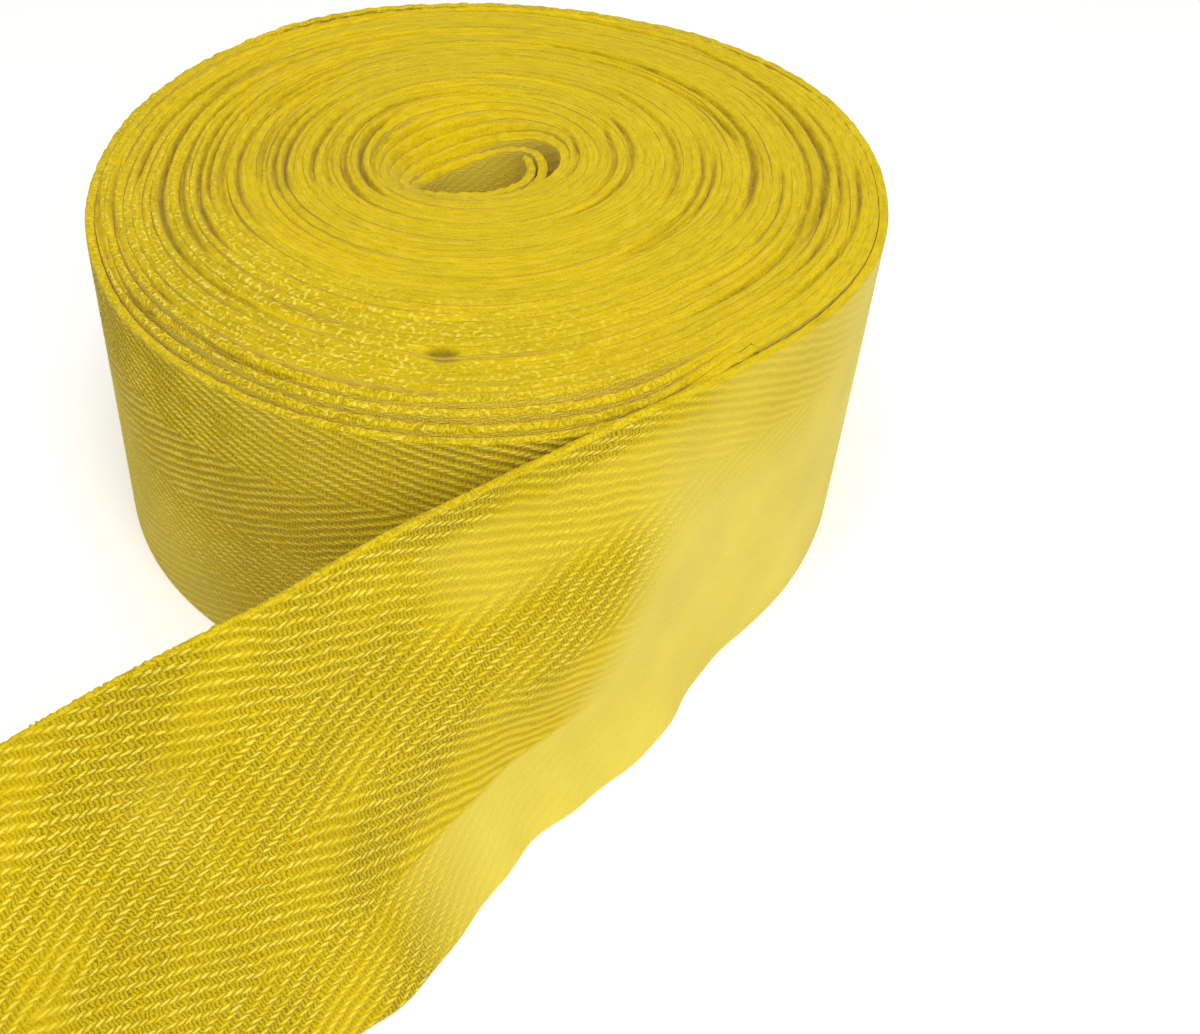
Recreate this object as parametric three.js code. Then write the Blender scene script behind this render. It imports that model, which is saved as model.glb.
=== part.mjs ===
// A roll of herringbone twill tape, standing on one face of the winding.
// Millimetres, +Z up. The tape's outermost turn runs clockwise, seen from above, and
// leaves the roll at the front right as a loose end that stands on its lower edge.
// Two solids: the wound roll with its centre hole, and the loose end as a thin sheet.

import * as THREE from 'three';

// Driving dimensions.
const TAPE_WIDTH = 50;
const TAPE_THICKNESS = 1.2;
const ROLL_RADIUS = 56;
const HOLE_RADIUS = 9;
const PIECE_GAP = 0.3;
const LEAVE_ANGLE = -53;            // degrees, where the outermost turn leaves the roll
const END_LENGTH = 122;             // length of the loose end
const OUTLINE_SPIRAL = 1.55;        // how far the outline comes in over the last turn
const SPIRAL_DEPTH = 6;             // how deep into the turns that shift is felt

// Upper face of the roll.
const MIDDLE_RISE = 1.2;            // how far the middle turns stand above the outer ones
const RISE_FROM = 54;               // winding radius where that rise begins
const RISE_TO = 38;                 // and where it is complete
const HOLE_DIP = 3;                 // how far the turns around the hole sink
const DIP_FROM = 18;                // winding radius where that dip begins
const RIM_ROUND = 0.5;              // how far the outermost edge is rounded over
const WINDING_OFFSET = { x: -0.4, y: 2.2 };   // hole centre, from the centre of the outline

// Grid of the roll.
const ROLL_COLUMNS = 96;
const TOP_RINGS = 24;
const STEP_ANGLE = 0.1;             // degrees taken by the step face

// Sunken turns: winding radius, width across the turns, depth, and the angles they run between.
const SUNKEN_TURNS = [
  { radius: 50.5, width: 3.0, depth: 0.9, from: -20, to: 75 },
  { radius: 40.5, width: 4.6, depth: 1.8, from: 0, to: 85 },
  { radius: 28.0, width: 3.6, depth: 0.7, from: -45, to: 65 },
  { radius: 19.5, width: 3.6, depth: 0.8, from: 90, to: 265 },
];

// The loose end, by distance along it: how far its lower edge stands outside the
// tangent line, and how many degrees the tape leans back from upright.
const END_SECTIONS = [
  { along: 0, lowerOut: 0, lean: 0 },
  { along: 22, lowerOut: 6.2, lean: 7.5 },
  { along: 45, lowerOut: 12.1, lean: 16 },
  { along: 67, lowerOut: 17.2, lean: 27.5 },
  { along: 90, lowerOut: 21.6, lean: 42 },
  { along: 122, lowerOut: 26.1, lean: 56 },
];
const END_STEPS = 40;
const END_ROWS = 6;
const EDGE_NUDGE = 0.05;            // how far apart points are taken to find an edge's direction

const COTTON_YELLOW = 0xd9c22a;

const radians = THREE.MathUtils.degToRad;
const smooth = (value, from, to) => {
  const t = THREE.MathUtils.clamp((value - from) / (to - from), 0, 1);
  return t * t * (3 - 2 * t);
};

// A closed mesh from sections with the same number of points, each a closed loop.
// The loops turn so that faces point out when the sections follow one another.
function skin(sections, joined) {
  const count = sections[0].length;
  const positions = sections.flat().flatMap((point) => [point.x, point.y, point.z]);
  const indices = [];
  const quad = (a, b, c, d) => indices.push(a, b, c, a, c, d);
  const spans = joined ? sections.length : sections.length - 1;
  for (let i = 0; i < spans; i += 1) {
    const here = i * count;
    const next = ((i + 1) % sections.length) * count;
    for (let j = 0; j < count; j += 1) {
      const k = (j + 1) % count;
      quad(here + j, next + j, next + k, here + k);
    }
  }
  if (!joined) {
    const last = (sections.length - 1) * count;
    for (let j = 0; j < count / 2 - 1; j += 1) {
      const across = count - 1 - j;
      quad(j, j + 1, across - 1, across);
      quad(last + across, last + across - 1, last + j + 1, last + j);
    }
  }
  const geometry = new THREE.BufferGeometry();
  geometry.setAttribute('position', new THREE.Float32BufferAttribute(positions, 3));
  geometry.setIndex(indices);
  geometry.computeVertexNormals();
  return geometry;
}

// Height of the roll's upper face at one winding radius and angle.
function topHeight(radius, angle) {
  let height = TAPE_WIDTH;
  height += MIDDLE_RISE * smooth(radius, RISE_FROM, RISE_TO);
  height -= HOLE_DIP * smooth(radius, DIP_FROM, HOLE_RADIUS) ** 2;
  for (const turn of SUNKEN_TURNS) {
    const span = turn.to - turn.from;
    const along = THREE.MathUtils.euclideanModulo(angle - turn.from, 360) / span;
    if (along < 1) {
      const ends = Math.sin(Math.PI * along);
      const across = Math.max(0, 1 - Math.abs(radius - turn.radius) / (turn.width / 2));
      height -= turn.depth * ends * smooth(across, 0, 1);
    }
  }
  return height;
}

// The roll: one radial profile after another round the winding, joined into a ring.
// The outline comes in by one thickness of tape and its gap over the turn, and steps back
// out where the outermost turn leaves.
function rollGeometry() {
  const sections = [];
  for (let i = 0; i <= ROLL_COLUMNS; i += 1) {
    const turned = (i / ROLL_COLUMNS) * (360 - STEP_ANGLE);
    const angle = LEAVE_ANGLE + turned;
    const spiral = OUTLINE_SPIRAL * (turned / 360);
    const place = (radius, height) => {
      const inward = (ROLL_RADIUS - radius) / (ROLL_RADIUS - HOLE_RADIUS);
      const reach = radius - spiral * smooth(radius, ROLL_RADIUS - SPIRAL_DEPTH, ROLL_RADIUS);
      return new THREE.Vector3(
        Math.cos(radians(angle)) * reach + WINDING_OFFSET.x * inward,
        Math.sin(radians(angle)) * reach + WINDING_OFFSET.y * inward,
        height,
      );
    };
    const profile = [
      place(ROLL_RADIUS, 0),
      place(ROLL_RADIUS, topHeight(ROLL_RADIUS, angle) - RIM_ROUND),
    ];
    for (let j = TOP_RINGS; j >= 0; j -= 1) {
      const radius = HOLE_RADIUS + ((ROLL_RADIUS - RIM_ROUND - HOLE_RADIUS) * j) / TOP_RINGS;
      profile.push(place(radius, topHeight(radius, angle)));
    }
    profile.push(place(HOLE_RADIUS, 0));
    sections.push(profile);
  }
  return skin(sections, true);
}

// A row of END_SECTIONS at any distance along, on a smooth curve through the rows.
function endSection(along) {
  const rows = END_SECTIONS;
  const last = rows.length - 1;
  let i = 0;
  while (i < last - 1 && along > rows[i + 1].along) i += 1;
  const length = (a, b) => rows[b].along - rows[a].along;
  const slope = (k, key) => {
    const before = Math.max(k - 1, 0);
    const after = Math.min(k + 1, last);
    return (rows[after][key] - rows[before][key]) / length(before, after);
  };
  const span = length(i, i + 1);
  const t = (along - rows[i].along) / span;
  const at = (key) =>
    rows[i][key] * (1 + 2 * t) * (1 - t) ** 2 + rows[i + 1][key] * t * t * (3 - 2 * t)
    + slope(i, key) * span * t * (1 - t) ** 2 - slope(i + 1, key) * span * t * t * (1 - t);
  return { lowerOut: at('lowerOut'), lean: radians(at('lean')) };
}

// The loose end: its lower edge runs along the surface, and each section rises from it
// square to that edge, leaning back. The inner face lies one thickness behind the outer.
function looseEndGeometry() {
  const leave = radians(LEAVE_ANGLE);
  const outward = new THREE.Vector3(Math.cos(leave), Math.sin(leave), 0);
  const tangent = new THREE.Vector3(Math.sin(leave), -Math.cos(leave), 0);
  const lowerEdge = (along) => outward.clone()
    .multiplyScalar(ROLL_RADIUS + endSection(along).lowerOut)
    .addScaledVector(tangent, along);
  const sections = [];
  for (let i = 0; i <= END_STEPS; i += 1) {
    const along = PIECE_GAP + ((END_LENGTH - PIECE_GAP) * i) / END_STEPS;
    const behind = lowerEdge(along - EDGE_NUDGE);
    const forward = lowerEdge(along + EDGE_NUDGE).sub(behind).normalize();
    const away = new THREE.Vector3(-forward.y, forward.x, 0);
    const { lean } = endSection(along);
    const face = away.clone().multiplyScalar(Math.cos(lean));
    face.z = Math.sin(lean);
    const up = away.clone().multiplyScalar(-Math.sin(lean));
    up.z = Math.cos(lean);
    const foot = lowerEdge(along);
    foot.z = TAPE_THICKNESS * Math.sin(lean);
    const outer = [];
    const inner = [];
    for (let j = 0; j <= END_ROWS; j += 1) {
      const point = foot.clone().addScaledVector(up, (TAPE_WIDTH * j) / END_ROWS);
      outer.push(point);
      inner.push(point.clone().addScaledVector(face, -TAPE_THICKNESS));
    }
    sections.push([...inner, ...outer.reverse()]);
  }
  return skin(sections, false);
}

function cotton(name, geometry) {
  const material = new THREE.MeshStandardMaterial({
    name: 'woven_cotton', color: COTTON_YELLOW, roughness: 0.9, metalness: 0,
  });
  const mesh = new THREE.Mesh(geometry, material);
  mesh.name = name;
  return mesh;
}

const group = new THREE.Group();
group.add(cotton('roll', rollGeometry()));
group.add(cotton('loose_end', looseEndGeometry()));

// The origin is the middle of the footprint, on the surface the roll stands on.
const box = new THREE.Box3().setFromObject(group);
const middle = box.getCenter(new THREE.Vector3());
group.position.set(-middle.x, -middle.y, -box.min.z);

export default group;
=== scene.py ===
"""Roll of herringbone twill tape: the cloth itself, turn by turn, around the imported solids.

The tape is one long strip. Distances along it are measured from the leave line, where the outermost
turn leaves the roll: positive towards the cut end, negative back into the winding. Distances across
it are measured from its lower edge.
"""

import math

import bpy
import numpy as np
from bpy.props import FloatProperty, FloatVectorProperty, IntProperty, PointerProperty
from mathutils import Matrix, Vector


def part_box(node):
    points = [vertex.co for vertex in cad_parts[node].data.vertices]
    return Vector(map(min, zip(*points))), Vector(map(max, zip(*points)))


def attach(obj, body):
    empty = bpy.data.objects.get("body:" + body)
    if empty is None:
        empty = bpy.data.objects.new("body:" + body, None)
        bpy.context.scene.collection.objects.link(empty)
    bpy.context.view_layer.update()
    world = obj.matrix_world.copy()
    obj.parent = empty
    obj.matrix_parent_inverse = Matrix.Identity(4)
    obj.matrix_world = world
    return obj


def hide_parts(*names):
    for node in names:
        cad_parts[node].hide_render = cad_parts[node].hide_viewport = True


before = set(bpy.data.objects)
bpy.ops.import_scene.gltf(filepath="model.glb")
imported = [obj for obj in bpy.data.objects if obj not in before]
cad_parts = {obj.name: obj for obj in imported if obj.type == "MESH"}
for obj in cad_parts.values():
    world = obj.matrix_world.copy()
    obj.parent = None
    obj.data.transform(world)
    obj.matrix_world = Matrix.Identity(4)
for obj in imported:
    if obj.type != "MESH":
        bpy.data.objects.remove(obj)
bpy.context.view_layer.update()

bl_info = {
    "name": "Roll of herringbone twill tape",
    "version": (1, 0, 0),
    "blender": (4, 5, 0),
    "location": "3D View > Sidebar > Tape",
    "description": "Winds a roll of woven cotton tape with a loose end",
    "category": "Add Mesh",
}

MM = 0.001
TURN = 2 * math.pi
COTTON = "dyed cotton, woven herringbone twill"

# Sides of the roll, as angles from its right, in radians.
RIGHT, FRONT_RIGHT = 0.1, -0.9
LEFT, BACK_LEFT, FRONT_LEFT = math.radians(165), 2.4, math.radians(230)

# How finely the strip is divided: rows up its face and over each edge, rows down its back, steps
# along it on the last turn and the turns inside, steps on the loose end to each pick, and samples
# of the spiral's running length.
FACE_ROWS, EDGE_ROWS = 149, 5
LOOSE_BACK_ROWS, WOUND_BACK_ROWS = 50, 6
LAST_TURN_STEP, TURN_STEP = 0.6 * MM, 0.42 * MM
STEPS_PER_PICK = 3
SPIRAL_SAMPLES = 20001

# How far the roll's rim stands outside the even spiral, by angle from the right, in degrees.
RIM = (
    # angle, millimetres
    (-53, 0.0), (-40, 0.3), (-23, 0.9), (-5, 0.8), (10, 1.15), (27, 1.7), (41, 1.3), (53, 0.9),
    (65, 0.3), (80, 0.7), (95, 1.1), (117, 1.75), (134, 1.1), (148, 0.7), (164, 0.1), (178, -0.2),
    (195, 0.5), (210, 1.1), (223, 1.4), (234, 1.95), (246, 2.6), (257, 3.0), (270, 3.1), (284, 2.3),
    (297, 0.9), (307, 0.0),
)

# Furrows in the top of the roll: depth, half width, and the angle and winding radius of points
# along each, in millimetres and degrees.
FURROWS = (
    # right side
    (1.0, 0.45, ((108, 52.4), (75, 52.0), (50, 51.0), (30, 48.3), (0, 47.7), (-17, 46.2), (-38, 45.4))),
    (0.7, 0.25, ((28, 50.6), (10, 50.2), (0, 49.5), (-20, 48.3), (-42, 47.6))),
    (0.7, 0.25, ((8, 52.3), (-10, 51.8), (-30, 50.5), (-48, 50.4))),
    (0.75, 0.3, ((34, 45.2), (0, 45.1), (-20, 44.7), (-35, 45.2), (-62, 45.6))),
    (0.4, 0.25, ((-12, 42.6), (-55, 42.6))),
    (0.4, 0.25, ((0, 41.2), (-35, 41.4))),
    (1.0, 0.4, ((86, 37.2), (60, 37.6), (40, 37.3), (10, 37.9), (-10, 37.6), (-34, 37.2))),
    (0.9, 0.35, ((158, 35.0), (104, 35.0))),
    (0.95, 0.35, ((68, 34.8), (35, 35.0), (20, 35.8), (0, 36.6))),
    (0.6, 0.25, ((8, 32.5), (-20, 32.3), (-62, 33.0))),
    (0.6, 0.25, ((12, 30.8), (-25, 31.0), (-62, 32.2))),
    (0.75, 0.3, ((58, 28.0), (20, 27.3), (5, 27.2), (-36, 28.0))),
    (0.8, 0.3, ((44, 22.2), (10, 21.3), (-20, 20.7), (-62, 20.7))),
    (0.7, 0.25, ((38, 20.0), (10, 18.6), (-44, 18.9))),
    (0.7, 0.25, ((46, 14.5), (10, 13.7), (-36, 13.3))),
    # left side
    (0.75, 0.3, ((128, 49.2), (145, 48.6), (165, 48.9), (190, 48.3))),
    (0.95, 0.4, ((124, 46.8), (140, 45.8), (150, 45.3), (180, 44.7), (210, 44.4), (252, 43.6))),
    (0.95, 0.4, ((140, 42.2), (180, 41.8), (222, 41.6))),
    (0.9, 0.35, ((146, 39.9), (180, 39.6), (222, 39.2))),
    (0.7, 0.25, ((150, 38.3), (200, 38.1))),
    (0.75, 0.3, ((116, 36.4), (180, 36.4), (214, 36.1))),
    (0.75, 0.3, ((122, 33.0), (180, 34.1), (214, 34.0))),
    (0.7, 0.25, ((130, 31.2), (200, 31.0))),
    (0.7, 0.25, ((140, 29.3), (205, 29.0))),
    (0.75, 0.3, ((130, 27.3), (206, 27.6))),
    (0.75, 0.3, ((136, 24.6), (165, 23.5), (205, 24.0))),
    (0.6, 0.25, ((146, 21.9), (210, 21.9))),
    (0.95, 0.35, ((68, 18.2), (100, 19.6), (130, 19.4), (180, 19.3), (236, 19.9))),
    (0.95, 0.35, ((126, 18.2), (150, 17.4), (180, 17.1), (226, 16.9))),
    (0.6, 0.25, ((140, 15.6), (200, 15.4))),
    # front left
    (0.8, 0.3, ((176, 54.0), (210, 52.7), (230, 51.3), (256, 50.2))),
    (0.7, 0.25, ((170, 52.5), (210, 50.2), (236, 48.6))),
)

# A dimple in the top near the front: half width, angle and winding radius.
DIMPLE = (1.25, 263.0, 44.2)

# The loose end, by distance along it in millimetres: how far its lower edge stands outside the
# tangent line of the leave line, and how many degrees the tape leans back from upright.
END_SECTIONS = (
    # along, lower edge out, lean
    (-30, 0.0, 0.0),
    (-14, 0.6, 0.4),
    (0, 1.7, 1.7),
    (12, 4.5, 5.0),
    (22, 7.1, 9.6),
    (31, 9.5, 14.4),
    (40, 11.0, 17.4),
    (47, 12.3, 19.2),
    (56, 14.2, 22.4),
    (67, 17.0, 28.1),
    (90, 21.6, 43.2),
    (122, 26.1, 56.5),
)

# How many degrees the loose end's lean swings to either side across its width, by distance along.
END_SWING = ((-14, 0), (3, 1), (20, 14), (37, 23), (50, 11), (62, 1), (90, 0), (122, 0))

# Lamps: name, place from the middle of the roll's foot, diameter in metres, and power in watts.
LAMPS = (
    ("overhead", (0.00, -0.17, 0.80), 0.6, 3.85),
    ("front", (0.22, -0.60, 0.56), 0.6, 2.8),
)

# The floor's half width in metres, the glow that keeps it near white, and the sky's strength.
FLOOR_HALF, FLOOR_GLOW, SKY_STRENGTH = 3.0, 0.28, 0.27


# ---------------------------------------------------------------------------------------------
# Settings
# ---------------------------------------------------------------------------------------------

def length(name, millimetres, description):
    """A length property with its default given in millimetres."""
    return FloatProperty(
        name=name, description=description, default=millimetres * MM, subtype="DISTANCE", unit="LENGTH",
        precision=5,
    )


def colour(name, hexadecimal, description):
    """A colour property with its default given as an sRGB hex value."""
    return FloatVectorProperty(
        name=name, description=description, default=linear(hexadecimal), subtype="COLOR", size=4,
        min=0.0, max=1.0,
    )


def linear(hexadecimal):
    """An sRGB hex value as a linear colour: each channel through the standard sRGB curve."""
    channels = [int(hexadecimal[place:place + 2], 16) / 255 for place in (0, 2, 4)]
    return tuple(
        value / 12.92 if value <= 0.04045 else ((value + 0.055) / 1.055) ** 2.4 for value in channels
    ) + (1.0,)


class TapeSettings(bpy.types.PropertyGroup):
    """The woven strip."""

    width: length("Width", 50, "Width of the tape")
    thickness: length("Thickness", 1.2, "Thickness of the tape")
    stripes: IntProperty(
        name="Stripes", description="Stripes of the herringbone across the width", default=4, min=1,
    )
    ends: IntProperty(
        name="Ends in a stripe", description="Lengthwise yarns in one stripe", default=34, min=4,
    )
    pick_spacing: length("Pick spacing", 0.94, "Distance between crosswise yarns")
    ridge_height: length("Ridge height", 0.2, "Height of the twill ridges")
    yarn_depth: length("Yarn depth", 0.2, "Depth between one yarn and the next")


class RollSettings(bpy.types.PropertyGroup):
    """The winding."""

    radius: length("Radius", 56, "Outer radius at the leave line")
    hole_radius: length("Hole radius", 8.6, "Radius of the centre hole")
    leave_angle: FloatProperty(
        name="Leave angle", description="Where the outermost turn leaves", default=math.radians(-53),
        subtype="ANGLE",
    )
    outline_step: length("Outline step", 1.32, "How far the outline comes in over the last turn")
    turns: IntProperty(name="Turns", description="Whole turns of the winding", default=35, min=3)
    inner_end_angle: FloatProperty(
        name="Inner end angle", description="Where the innermost turn ends", default=math.radians(30),
        subtype="ANGLE",
    )
    middle_rise: length("Middle rise", 1.2, "How far the middle turns stand above the outer ones")
    hole_dip: length("Hole dip", 7.0, "How far the turns at the back left of the hole sink")
    rim_drop: length("Rim drop", 3.6, "How far the outermost turns step down at the front left")
    inner_drop: length("Inner drop", 1.7, "How far the innermost turns have dropped")
    shift_x: length("Shift across", -0.8, "Where the hole lies, across from the outline's centre")
    shift_y: length("Shift back", 3.0, "Where the hole lies, back from the outline's centre")
    lean: length("Lean", 1.6, "How far the roll's foot stands to the left of its top")
    loosening: length("Loosening", 2.3, "How far the inner end springs away from the turns around it")


class FinishSettings(bpy.types.PropertyGroup):
    """The dyed cotton."""

    yarn: colour("Yarn", "D8BB04", "Colour of the yarn where it faces the light")
    # gap and crest: the ramp's dark and light ends, painted shade between the yarns and painted
    # highlight on their crests
    crest: colour("Crest", "EDD744", "Colour of the fibres on the crests")
    gap: colour("Gap", "8E7705", "Colour between the yarns")
    # pressed: partly cloth pressed smooth and partly a painted sheen on the lit right side of the roll,
    # the loose end and the inner turns' faces
    pressed: colour("Pressed", "E5D258", "Colour of the cloth where it was pressed smooth")


class StageSettings(bpy.types.PropertyGroup):
    """Floor, light and camera."""

    floor: colour("Floor", "F4F4F2", "Colour of the floor")
    focal_length: FloatProperty(
        name="Focal length", description="Lens of the camera, in millimetres", default=47.72, min=10,
    )
    distance: length("Camera distance", 201.9, "Camera in front of the roll's axis")
    height: length("Camera height", 164.4, "Camera above the surface")
    turned: FloatProperty(
        name="Camera turn", description="Camera turned to the right", default=math.radians(5.13),
        subtype="ANGLE",
    )
    pitched: FloatProperty(
        name="Camera pitch", description="Camera tipped down", default=math.radians(41.73),
        subtype="ANGLE",
    )
    rolled: FloatProperty(
        name="Camera roll", description="Camera tipped sideways", default=math.radians(2.465),
        subtype="ANGLE",
    )


class TwillTapeSettings(bpy.types.PropertyGroup):
    """All settings of the roll."""

    tape: PointerProperty(type=TapeSettings)
    roll: PointerProperty(type=RollSettings)
    finish: PointerProperty(type=FinishSettings)
    stage: PointerProperty(type=StageSettings)


# ---------------------------------------------------------------------------------------------
# Curves and waves
# ---------------------------------------------------------------------------------------------

def smooth(value, start, end):
    """Smooth step: 0 at start, 1 at end, and 3 t squared less 2 t cubed between them."""
    share = np.clip((value - start) / (end - start), 0.0, 1.0)
    return share * share * (3.0 - 2.0 * share)


def waves(distance, lengths, seed):
    """Uneven wave between about -1 and 1: the mean of one sine for each wave length.

    Each sine's phase is drawn from the seed.
    """
    draw = np.random.default_rng(seed)
    total = 0.0
    for wave_length in lengths:
        total = total + np.sin(TURN * distance / wave_length + draw.uniform(0.0, TURN))
    return total / math.sqrt(len(lengths))


def through_rows(rows, column, at):
    """One column of a table at any place in its first column: a cubic through its rows.

    Each row's slope is that between its neighbours, and there is none at the first row.
    """
    table = np.array(rows, dtype=float)
    places, values = table[:, 0], table[:, column]
    slopes = np.gradient(values, places)
    slopes[1:-1] = (values[2:] - values[:-2]) / (places[2:] - places[:-2])
    slopes[0] = 0.0
    at = np.maximum(at, places[0])
    row = np.clip(np.searchsorted(places, at, side="right") - 1, 0, len(places) - 2)
    span = places[row + 1] - places[row]
    share = (at - places[row]) / span
    return (
        values[row] * (1 + 2 * share) * (1 - share) ** 2
        + values[row + 1] * share ** 2 * (3 - 2 * share)
        + slopes[row] * span * share * (1 - share) ** 2
        - slopes[row + 1] * span * share ** 2 * (1 - share)
    )


# ---------------------------------------------------------------------------------------------
# The winding
# ---------------------------------------------------------------------------------------------

def total_turned(roll):
    """Angle wound from the leave line to the inner end, in radians."""
    return roll.turns * TURN + roll.inner_end_angle - roll.leave_angle


def pitch(tape, roll):
    """Distance from one turn to the next inside the first: what is left of the radius, shared
    among the turns so that the last turn's inner face meets the hole."""
    after_first = roll.radius - roll.outline_step
    innermost = roll.hole_radius + tape.thickness
    return (after_first - innermost) / (total_turned(roll) - TURN) * TURN


def winding_radius(turned, tape, roll):
    """Radius of a turn's outer face, before the turns are shifted.

    It falls evenly with the angle: by the outline step over the first turn, then by the pitch.
    """
    first = np.minimum(turned, TURN)
    return roll.radius - (roll.outline_step * first + pitch(tape, roll) * (turned - first)) / TURN


def turned_at(distance, tape, roll):
    """Angle turned at a distance back from the leave line, read from the spiral's running length."""
    turned = np.linspace(0.0, total_turned(roll), SPIRAL_SAMPLES)
    radius = winding_radius(turned, tape, roll)
    steps = 0.5 * (radius[1:] + radius[:-1]) * np.diff(turned)
    run = np.concatenate(([0.0], np.cumsum(steps)))
    return np.interp(distance, run, turned)


def first_turn_length(roll):
    """Length of tape in the outermost turn: its mean radius times a whole turn."""
    return (roll.radius - 0.5 * roll.outline_step) * TURN


def wound_length(tape, roll):
    """Length of tape in the roll: the outermost turn, and the other turns' mean radius times their
    angle."""
    outer, inner = roll.radius - roll.outline_step, roll.hole_radius + tape.thickness
    return first_turn_length(roll) + 0.5 * (outer + inner) * (total_turned(roll) - TURN)


def roll_centre(tape, roll):
    """Centre of the roll's outline: its box's right and back sides, less the radius there."""
    low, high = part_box("roll")
    right = winding_radius((0.0 - roll.leave_angle) % TURN, tape, roll)
    back = winding_radius((TURN / 4 - roll.leave_angle) % TURN, tape, roll)
    return np.array([high[0] - right, high[1] - back, low[2]])


def winding_place(radius, angle, up, tape, roll):
    """Point of the winding in the plane, from its winding radius, its angle and its share of the
    tape's width up from the floor.

    The turns' centres move steadily from the outline's centre to the hole's. The rim's swells die
    out inwards and downwards, a slow two-lobed wave keeps the turns between out of round, and the
    whole roll leans a little to the right.
    """
    inward = smooth(radius, roll.radius, 0.45 * roll.radius)
    between = smooth(radius, roll.radius, 0.8 * roll.radius) * smooth(
        radius, roll.hole_radius, 2.5 * roll.hole_radius)
    lobes = 0.35 * between * (np.cos(2 * angle - 0.6) + 0.6 * np.cos(3 * angle + 1.1))
    around = RIM[0][0] + (np.degrees(angle) - RIM[0][0]) % 360
    swell = through_rows(RIM, 1, around) * smooth(radius, 0.3 * roll.radius, roll.radius)
    outer = radius + (lobes + swell * (0.2 + 0.8 * up)) * MM
    centre = roll_centre(tape, roll)
    x = centre[0] + outer * np.cos(angle) + roll.shift_x * inward - roll.lean * (1.0 - up)
    y = centre[1] + outer * np.sin(angle) + roll.shift_y * inward
    return x, y


def dimple(radius, angle):
    """How near a place on the top is to the middle of the dimple, 0 to 1: a bell curve in both
    directions, twice as long around the roll as it is wide."""
    half_width, at_angle, at_radius = DIMPLE
    beside = (radius / MM - at_radius) / half_width
    around = np.radians((np.degrees(angle) - at_angle + 180) % 360 - 180) * at_radius / (2 * half_width)
    return np.exp(-beside ** 2 - around ** 2)


def furrows(radius, angle):
    """How far the top of the roll is furrowed at a winding radius and angle.

    Each row of the table is a furrow with the section of a bell curve along a line through its
    points, fading out over the last fifth of its length at either end. The dimple is added.
    """
    total = np.zeros(np.broadcast(radius, angle).shape)
    for depth, half_width, points in FURROWS:
        line = np.array(sorted(points))
        first, last = line[0, 0], line[-1, 0]
        middle = 0.5 * (first + last)
        degrees = middle + (np.degrees(angle) - middle + 180) % 360 - 180
        beside = (radius / MM - np.interp(degrees, line[:, 0], line[:, 1])) / half_width
        fade = 0.2 * (last - first)
        ends = smooth(degrees, first, first + fade) * smooth(degrees, last, last - fade)
        total = total + depth * MM * ends * np.exp(-beside ** 2)
    return total + 0.5 * MM * dimple(radius, angle)


def facing(angle, side):
    """1 on the given side of the roll, 0 opposite it, by a raised cosine."""
    return 0.5 + 0.5 * np.cos(angle - side)


def front_left(angle):
    """1 on the roll's front left, 0 elsewhere, by smooth steps."""
    around = np.degrees(angle) % 360
    return smooth(around, 186, 222) * smooth(around, 304, 289)


def ropes(turned, tape, roll):
    """1 where the outermost turns at the front left stand apart like ropes, 0 elsewhere."""
    return front_left(roll.leave_angle + turned) * smooth(
        winding_radius(turned, tape, roll), 49.5 * MM, 51.5 * MM)


def turn_stitches(turned, tape, roll):
    """How plainly single stitches show on the inner turns: 0.15, and 1 where they look like ropes."""
    return 0.15 + 0.85 * ropes(turned, tape, roll)


def sprung(turned, roll):
    """How far the innermost turns have sprung into the hole: most at the inner end and on the
    right, and nothing on the left or more than 760 degrees before the end."""
    left = np.degrees(total_turned(roll) - turned)
    freed = 0.83 * smooth(left, 760, 390) + 0.17 * smooth(left, 390, 0)
    return roll.loosening * freed * facing(roll.leave_angle + turned, RIGHT) ** 2.5


def upper_edge(turned, distance, tape, roll):
    """Height of the tape's upper edge in the winding.

    The tape's width, raised in the middle, with a wander from turn to turn that is strongest on
    the left and short ripples. The outermost turns step down at the front left. Beside the hole
    the edge dips at the back left, and the innermost turns have dropped, most on the right.
    """
    angle = roll.leave_angle + turned
    radius = winding_radius(turned, tape, roll)
    on_left = facing(angle, LEFT) ** 3
    inner = smooth(radius, 18 * MM, roll.hole_radius)
    height = tape.width + roll.middle_rise * smooth(radius, 54 * MM, 38 * MM)
    height = height - roll.hole_dip * inner * facing(angle, BACK_LEFT) ** 2
    stepped = np.clip((radius - 50.5 * MM) / (5.5 * MM), 0.0, 1.0) * front_left(angle)
    height = height - roll.rim_drop * stepped
    wander = waves(distance, (173 * MM, 97 * MM, 61 * MM), seed=11)
    height = height + smooth(turned, 0.0, 0.6) * (0.045 + 0.285 * on_left) * MM * wander
    ripple = waves(distance, (17.3 * MM, 7.1 * MM, 4.3 * MM, 3.1 * MM, 2.2 * MM), seed=12)
    uneven = 0.03 + 0.05 * on_left + 0.10 * inner + 0.05 * smooth(radius, 50 * MM, 55 * MM)
    height = height + uneven * MM * ripple
    left = np.degrees(total_turned(roll) - turned)
    dropped = smooth(left, 840, 480) * (0.35 + 0.65 * facing(angle, RIGHT))
    return height - dropped * roll.inner_drop


def edge_roundness(turned, distance, tape, roll):
    """How far the tape's edge falls away between its middle and its faces.

    It comes and goes along the tape, for more of the way on the left than on the right and in
    front, where the turns are pressed flush.
    """
    uneven = waves(distance, (188 * MM, 88 * MM, 41 * MM), seed=21)
    pressed = facing(roll.leave_angle + turned, FRONT_RIGHT)
    flush = 1.5 * pressed * (1.0 - ropes(turned, tape, roll))
    return (0.01 + 0.45 * smooth(uneven, flush - 0.9, flush + 0.4)) * MM


# ---------------------------------------------------------------------------------------------
# The weave
# ---------------------------------------------------------------------------------------------

def end_spacing(tape):
    """Distance between lengthwise yarns: a stripe's width shared among its ends."""
    return tape.width / tape.stripes / tape.ends


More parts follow.
